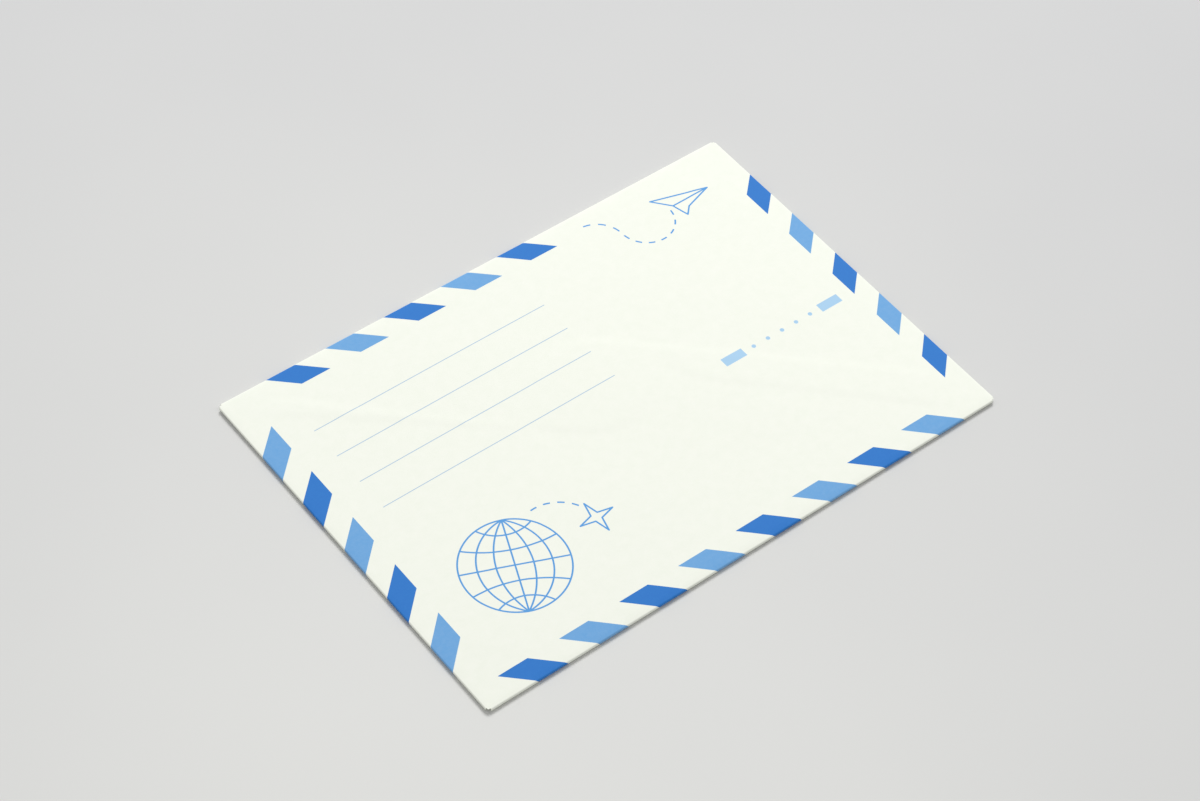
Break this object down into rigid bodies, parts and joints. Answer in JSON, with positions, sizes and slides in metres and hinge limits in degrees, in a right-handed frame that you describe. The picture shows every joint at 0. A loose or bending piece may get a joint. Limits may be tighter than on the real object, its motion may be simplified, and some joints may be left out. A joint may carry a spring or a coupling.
{
  "type": "paper envelope",
  "caption": "Landscape letter envelope folded and glued from one sheet of white paper, with a striped blue airmail border and fine blue line print.",
  "frame": {"origin": "under the middle of the envelope, on the surface that it lies on", "axes": "+X to the right along the long edges, +Y up the front towards the closing fold, +Z out of the printed front"},
  "size_m": [0.162, 0.114, 0.0012],
  "materials": {
    "paper": "uncoated white paper, printed in blues"
  },
  "bodies": {
    "root": {"envelope": "paper"}
  },
  "joints": []
}
